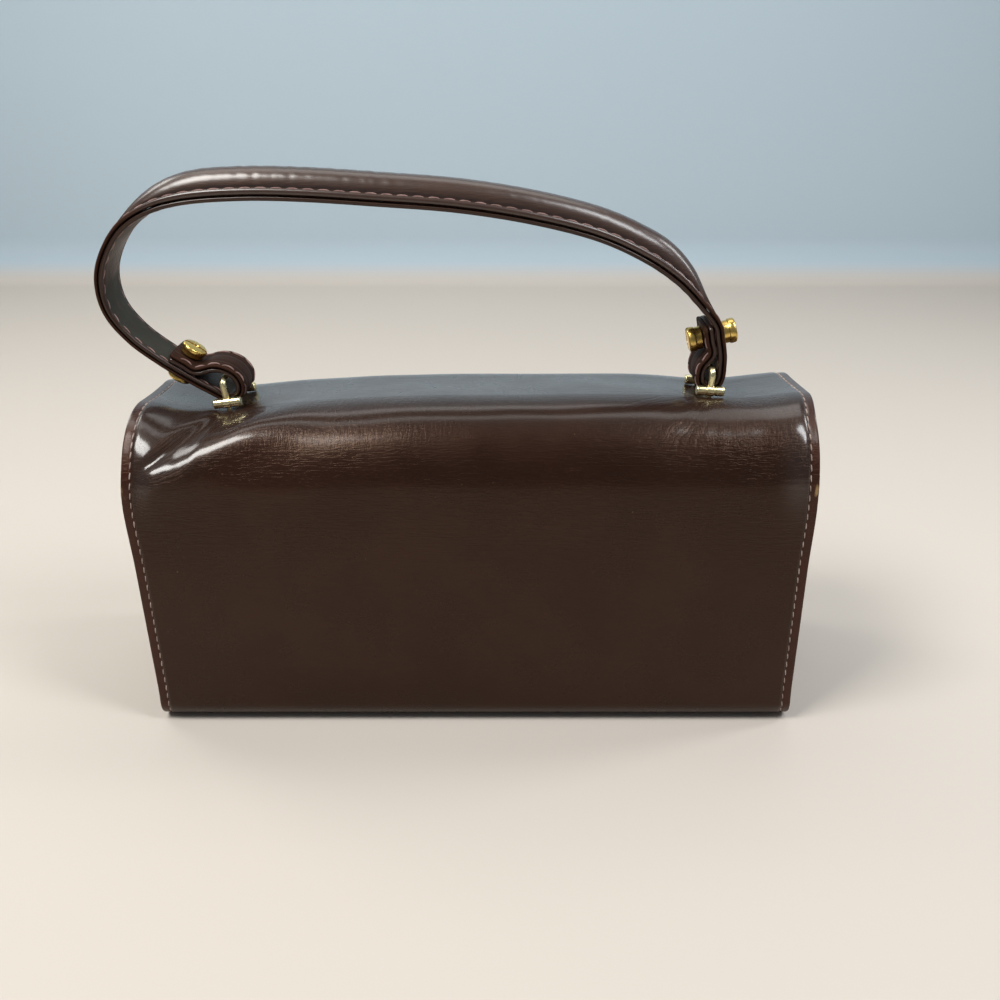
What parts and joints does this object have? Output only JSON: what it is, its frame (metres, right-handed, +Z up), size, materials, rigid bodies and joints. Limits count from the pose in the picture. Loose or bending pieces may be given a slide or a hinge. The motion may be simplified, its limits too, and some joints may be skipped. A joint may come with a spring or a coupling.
{
  "type": "top handle bag",
  "caption": "Boxed leather handbag with a deep flap that forms roof and front, folding side gussets and a padded strap handle on brass staples.",
  "frame": {"origin": "on the floor under the middle of the body's outline, 110 mm from each side and 38 mm from the back", "axes": "+X along the panels to the right of the picture, -Y out of the plain back that the picture shows, +Z up"},
  "size_m": [0.2301, 0.076, 0.1821],
  "materials": {
    "leather_brown": "polished dark brown, worn",
    "leather_dark": "smooth",
    "strap_lining": "worn, matt",
    "board_grey": "pressed fibre board",
    "lining_tan": "woven",
    "felt_grey": "felt",
    "brass_pale": "polished, pale",
    "brass_gold": "polished, worn",
    "washer_steel": "plain"
  },
  "bodies": {
    "body": {"body_cover": "leather_brown", "back_board": "board_grey", "bottom_board": "board_grey", "front_board": "board_grey", "body_lining": "lining_tan", "gusset_left": "leather_dark", "gusset_right": "leather_dark", "gusset_lining_left": "lining_tan", "gusset_lining_right": "lining_tan", "mouth_binding": "leather_dark", "slip_pocket": "lining_tan", "pocket_welt": "leather_dark", "snap_stud": "brass_gold", "snap_stud_washer": "washer_steel"},
    "flap": {"flap_cover": "leather_brown", "roof_board": "board_grey", "flap_board": "board_grey", "flap_lining": "lining_tan", "snap_socket": "brass_gold", "snap_socket_washer": "washer_steel", "staple_left": "brass_pale", "staple_right": "brass_pale", "saddle_bars_left": "brass_pale", "saddle_bars_right": "brass_pale", "leg_washers_left": "washer_steel", "leg_washers_right": "washer_steel"},
    "handle": {"strap_upper": "leather_brown", "strap_core": "felt_grey", "strap_underside": "strap_lining", "stud_post_left": "brass_gold", "stud_screw_left": "brass_gold", "stud_post_right": "brass_gold", "stud_screw_right": "brass_gold"}
  },
  "joints": [
    {"name": "flap_open", "type": "hinge", "parent": "body", "child": "flap", "pos_m": [0, -0.038, 0.0873], "axis": [1, 0, 0], "range_deg": [0, 120]},
    {"name": "handle_lift", "type": "slide", "parent": "flap", "child": "handle", "axis": [0, 0, 1], "range_m": [0, 0.0025]}
  ]
}
